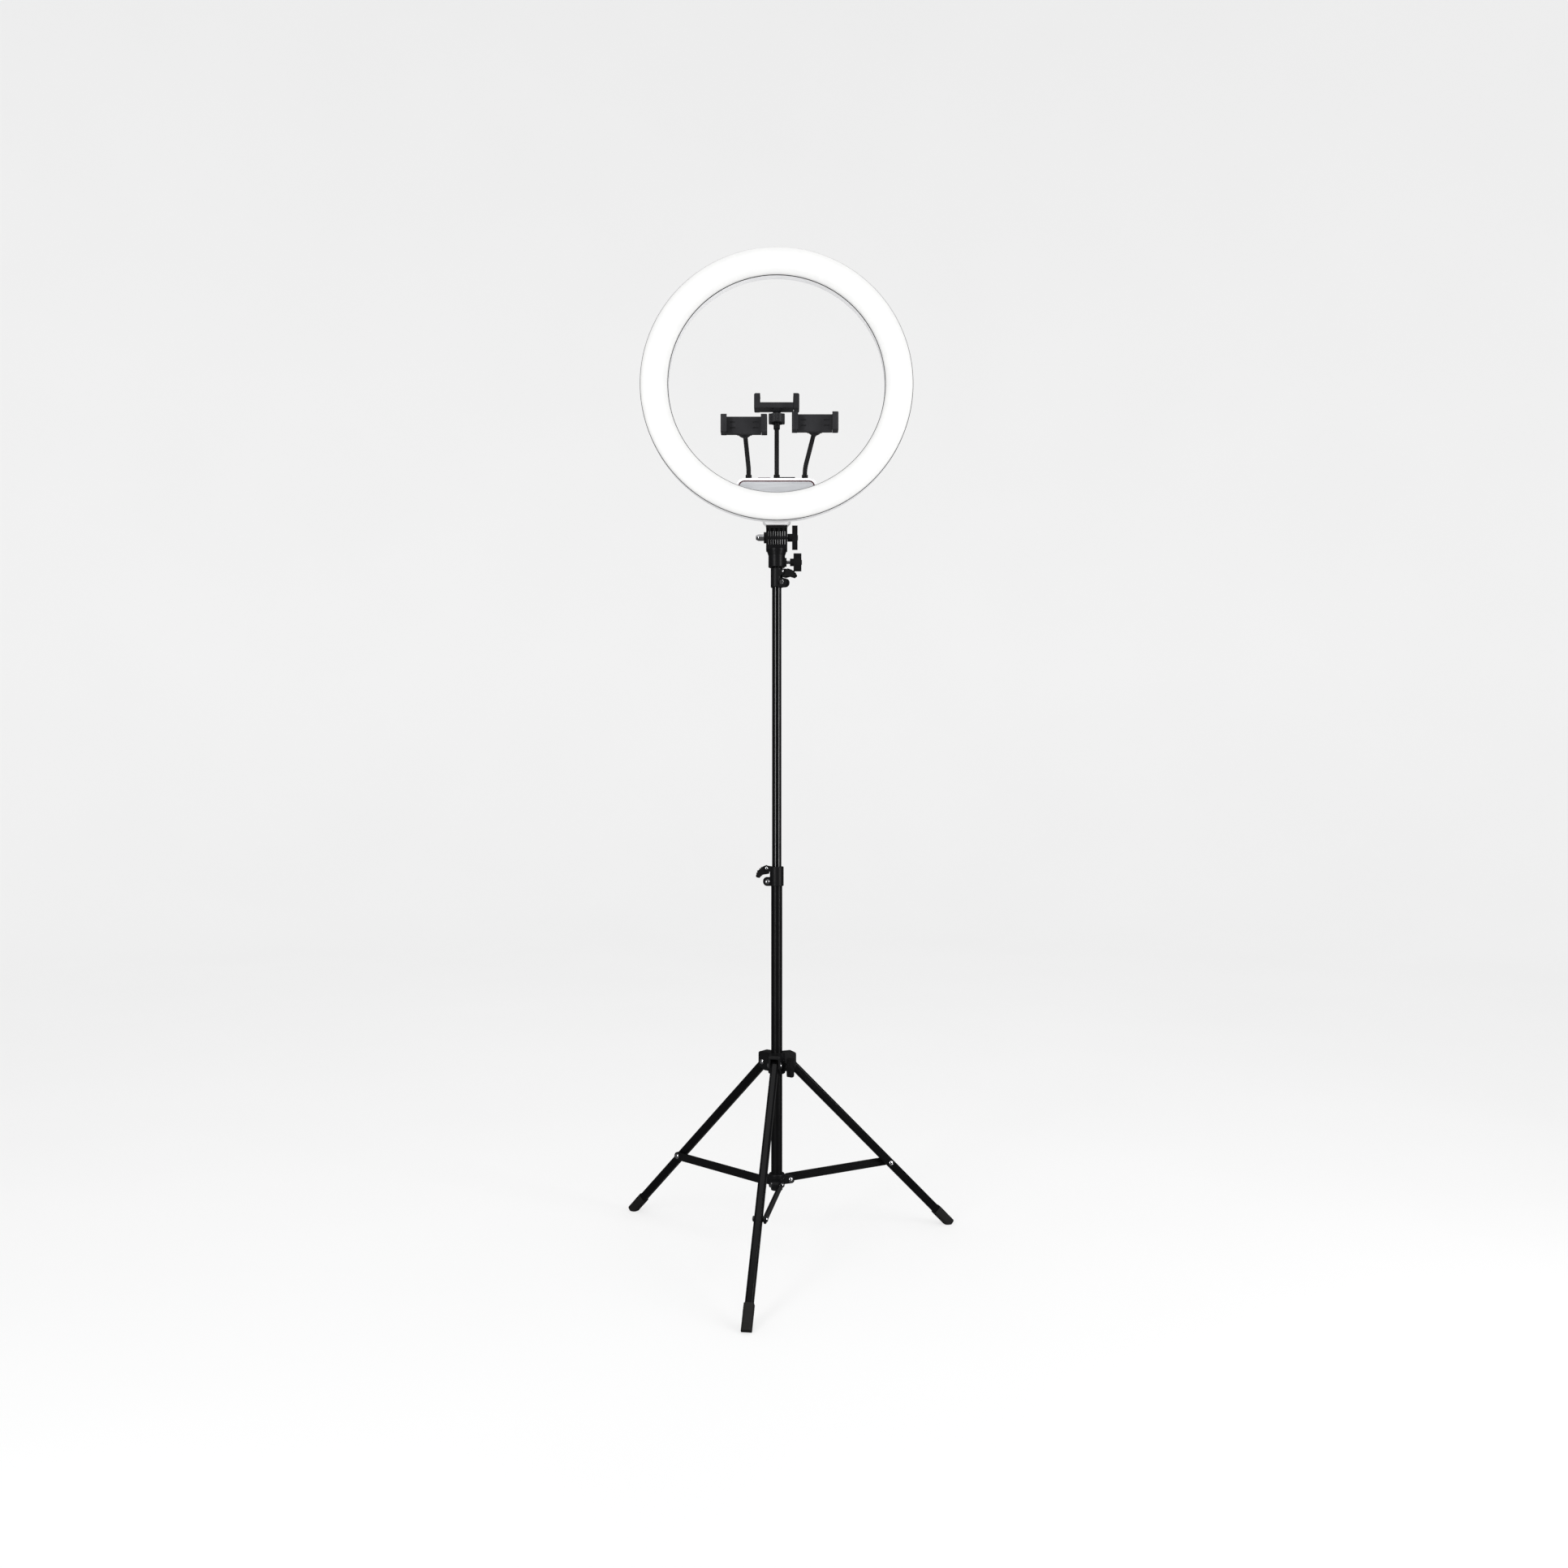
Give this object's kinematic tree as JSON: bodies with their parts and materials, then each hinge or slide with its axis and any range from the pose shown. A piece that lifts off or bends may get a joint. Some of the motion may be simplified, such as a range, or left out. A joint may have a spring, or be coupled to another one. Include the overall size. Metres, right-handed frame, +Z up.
{
  "type": "ring light",
  "caption": "Ring-shaped lamp with phone clamps on flexible necks, on a telescoping column and folding tripod stand.",
  "frame": {"origin": "middle of the footprint's box on the floor", "axes": "+Z up the column; the lit face of the ring looks along -Y; +X is to the right of someone facing the lit side"},
  "size_m": [0.595, 0.5534, 1.688],
  "materials": {
    "column_black": "gloss black paint on steel",
    "leg_black": "satin black paint on steel",
    "strip_black": "satin black paint on pressed steel",
    "moulded_black": "fine-textured black moulding",
    "head_black": "satin black paint on cast metal",
    "knob_black": "textured black moulding",
    "clamp_black": "satin charcoal moulding",
    "foot_rubber": "matt black rubber",
    "soft_rubber": "matt black rubber",
    "bright_steel": "bright zinc plate",
    "spigot_steel": "turned steel",
    "milky_cover": "milky light diffuser, soft glow",
    "white_shell": "white moulding",
    "silver_panel": "satin silver",
    "board_white": "white solder mask",
    "board_green": "green solder mask",
    "led_phosphor": "phosphor under silicone",
    "smoked_window": "smoked infra-red window",
    "screen": "dark display glass",
    "neck_black": "ribbed black flexible sleeve",
    "socket_metal": "tinned steel shell"
  },
  "bodies": {
    "base": {"base_tube": "column_black", "end_plug": "moulded_black", "lower_collar": "moulded_black", "lower_collar_bolt": "bright_steel", "brace_hub": "moulded_black", "brace_hub_pins": "bright_steel"},
    "mid_section": {"mid_tube": "column_black", "mid_tube_bushing": "moulded_black", "upper_collar": "moulded_black", "upper_collar_bolt": "bright_steel"},
    "top_section": {"top_tube": "column_black", "top_tube_bushing": "moulded_black", "spigot": "spigot_steel"},
    "lower_lever": {"lower_lever": "knob_black"},
    "upper_lever": {"upper_lever": "knob_black"},
    "hub": {"leg_hub": "moulded_black", "leg_hub_pins": "bright_steel"},
    "hub_knob": {"hub_knob": "knob_black"},
    "head_socket": {"receiver": "head_black", "tilt_bolt": "bright_steel"},
    "receiver_knob": {"receiver_knob": "knob_black", "receiver_screw": "bright_steel"},
    "tilt_knob": {"tilt_knob": "knob_black"},
    "ring_head": {"tilt_bracket": "head_black", "neck": "white_shell", "rear_housing": "white_shell", "led_board": "board_white", "led_chips": "led_phosphor", "diffuser": "milky_cover", "box_shell": "white_shell", "box_panel": "silver_panel", "box_board": "board_green", "ir_window": "smoked_window", "usb_ports": "socket_metal", "display": "screen", "dc_inlet": "moulded_black", "goosenecks": "neck_black", "gooseneck_ferrules": "head_black"},
    "usb_cover": {"usb_cover": "soft_rubber"},
    "brightness_dial": {"brightness_dial": "knob_black"},
    "colour_dial": {"colour_dial": "knob_black"},
    "power_switch": {"power_switch": "knob_black"},
    "leg_front": {"leg_front": "leg_black", "foot_front": "foot_rubber"},
    "brace_front": {"brace_front": "strip_black"},
    "leg_left": {"leg_left": "leg_black", "foot_left": "foot_rubber"},
    "brace_left": {"brace_left": "strip_black"},
    "leg_right": {"leg_right": "leg_black", "foot_right": "foot_rubber"},
    "brace_right": {"brace_right": "strip_black"},
    "clamp_left": {"clamp_left": "clamp_black"},
    "jaw_left": {"jaw_left": "clamp_black"},
    "lock_ring_left": {"lock_ring_left": "clamp_black"},
    "clamp_middle": {"clamp_middle": "clamp_black"},
    "jaw_middle": {"jaw_middle": "clamp_black"},
    "lock_ring_middle": {"lock_ring_middle": "clamp_black"},
    "clamp_right": {"clamp_right": "clamp_black"},
    "jaw_right": {"jaw_right": "clamp_black"},
    "lock_ring_right": {"lock_ring_right": "clamp_black"}
  },
  "joints": [
    {"name": "mid_slide", "type": "slide", "parent": "base", "child": "mid_section", "axis": [0, 0, 1], "range_m": [-0.44, 0]},
    {"name": "top_slide", "type": "slide", "parent": "mid_section", "child": "top_section", "axis": [0, 0, 1], "range_m": [0, 0.44]},
    {"name": "hub_slide", "type": "slide", "parent": "base", "child": "hub", "axis": [0, 0, 1], "range_m": [0, 0.264]},
    {"name": "lower_lever_flip", "type": "hinge", "parent": "base", "child": "lower_lever", "pos_m": [-0.0382, 0.06393, 0.6495], "axis": [-0.0349, 0.9994, 0], "range_deg": [0, 70]},
    {"name": "upper_lever_flip", "type": "hinge", "parent": "mid_section", "child": "upper_lever", "pos_m": [-0.00685, 0.05654, 1.153], "axis": [-0.5, -0.866, 0], "range_deg": [0, 55]},
    {"name": "hub_knob_turn", "type": "hinge", "parent": "hub", "child": "hub_knob", "pos_m": [-0.00074, 0.04949, 0.313], "axis": [0.7986, -0.6018, 0], "range_deg": [0, 360]},
    {"name": "leg_front_fold", "type": "hinge", "parent": "hub", "child": "leg_front", "pos_m": [-0.0237, 0.04072, 0.318], "axis": [0.9922, -0.1246, 0], "range_deg": [0, 44.66]},
    {"name": "leg_right_fold", "type": "hinge", "parent": "hub", "child": "leg_right", "pos_m": [0.00141, 0.07385, 0.318], "axis": [-0.3882, 0.9216, 0], "range_deg": [0, 44.66]},
    {"name": "leg_left_fold", "type": "hinge", "parent": "hub", "child": "leg_left", "pos_m": [-0.03984, 0.07903, 0.318], "axis": [-0.604, -0.797, 0], "range_deg": [0, 44.66]},
    {"name": "brace_front_fold", "type": "hinge", "parent": "base", "child": "brace_front", "pos_m": [-0.0237, 0.04072, 0.117], "axis": [-0.9922, 0.1246, 0], "range_deg": [0, 87.97]},
    {"name": "brace_right_fold", "type": "hinge", "parent": "base", "child": "brace_right", "pos_m": [0.00141, 0.07385, 0.117], "axis": [0.3882, -0.9216, 0], "range_deg": [0, 87.97]},
    {"name": "brace_left_fold", "type": "hinge", "parent": "base", "child": "brace_left", "pos_m": [-0.03984, 0.07903, 0.117], "axis": [0.604, 0.797, 0], "range_deg": [0, 87.97]},
    {"name": "head_swivel", "type": "hinge", "parent": "top_section", "child": "head_socket", "pos_m": [-0.02071, 0.06454, 1.18], "axis": [0, 0, 1], "continuous": true},
    {"name": "receiver_knob_turn", "type": "hinge", "parent": "head_socket", "child": "receiver_knob", "pos_m": [0.00929, 0.06454, 1.17], "axis": [1, 0, 0], "range_deg": [0, 360]},
    {"name": "tilt_knob_turn", "type": "hinge", "parent": "head_socket", "child": "tilt_knob", "pos_m": [0.00929, 0.06454, 1.212], "axis": [1, 0, 0], "range_deg": [0, 360]},
    {"name": "head_tilt", "type": "hinge", "parent": "head_socket", "child": "ring_head", "pos_m": [-0.02071, 0.06454, 1.212], "axis": [1, 0, 0], "range_deg": [-90, 90]},
    {"name": "usb_cover_flip", "type": "hinge", "parent": "ring_head", "child": "usb_cover", "pos_m": [-0.00471, 0.06134, 1.3099], "axis": [-1, 0, 0], "range_deg": [0, 95]},
    {"name": "brightness_turn", "type": "hinge", "parent": "ring_head", "child": "brightness_dial", "pos_m": [-0.06271, 0.09454, 1.276], "axis": [0, 1, 0], "range_deg": [-135, 135]},
    {"name": "colour_turn", "type": "hinge", "parent": "ring_head", "child": "colour_dial", "pos_m": [0.02129, 0.09454, 1.276], "axis": [0, 1, 0], "range_deg": [-135, 135]},
    {"name": "power_rock", "type": "hinge", "parent": "ring_head", "child": "power_switch", "pos_m": [-0.02071, 0.08754, 1.2695], "axis": [1, 0, 0], "range_deg": [0, 12]},
    {"name": "clamp_left_swivel", "type": "hinge", "parent": "ring_head", "child": "lock_ring_left", "pos_m": [-0.07471, 0.03404, 1.389], "axis": [0, -1, 0], "continuous": true},
    {"name": "clamp_left_tilt", "type": "hinge", "parent": "lock_ring_left", "child": "clamp_left", "pos_m": [-0.07471, 0.03404, 1.389], "axis": [1, 0, 0], "range_deg": [-25, 25]},
    {"name": "jaw_left_slide", "type": "slide", "parent": "clamp_left", "child": "jaw_left", "axis": [1, 0, 0], "range_m": [0, 0.028], "stiffness_N_per_m": 150, "springref_m": -0.02},
    {"name": "clamp_middle_swivel", "type": "hinge", "parent": "ring_head", "child": "lock_ring_middle", "pos_m": [-0.02071, 0.07054, 1.4175], "axis": [0, 0, 1], "continuous": true},
    {"name": "clamp_middle_tilt", "type": "hinge", "parent": "lock_ring_middle", "child": "clamp_middle", "pos_m": [-0.02071, 0.07054, 1.4175], "axis": [1, 0, 0], "range_deg": [-25, 25]},
    {"name": "jaw_middle_slide", "type": "slide", "parent": "clamp_middle", "child": "jaw_middle", "axis": [1, 0, 0], "range_m": [0, 0.028], "stiffness_N_per_m": 150, "springref_m": -0.02},
    {"name": "clamp_right_swivel", "type": "hinge", "parent": "ring_head", "child": "lock_ring_right", "pos_m": [0.04329, 0.03404, 1.393], "axis": [0, -1, 0], "continuous": true},
    {"name": "clamp_right_tilt", "type": "hinge", "parent": "lock_ring_right", "child": "clamp_right", "pos_m": [0.04329, 0.03404, 1.393], "axis": [1, 0, 0], "range_deg": [-25, 25]},
    {"name": "jaw_right_slide", "type": "slide", "parent": "clamp_right", "child": "jaw_right", "axis": [1, 0, 0], "range_m": [0, 0.028], "stiffness_N_per_m": 150, "springref_m": -0.02}
  ],
  "couplings": [
    {"joint": "leg_front_fold", "follows": "hub_slide", "rad_per_m": 2.9524},
    {"joint": "brace_front_fold", "follows": "hub_slide", "rad_per_m": 5.8154},
    {"joint": "leg_right_fold", "follows": "hub_slide", "rad_per_m": 2.9524},
    {"joint": "brace_right_fold", "follows": "hub_slide", "rad_per_m": 5.8154},
    {"joint": "leg_left_fold", "follows": "hub_slide", "rad_per_m": 2.9524},
    {"joint": "brace_left_fold", "follows": "hub_slide", "rad_per_m": 5.8154}
  ]
}
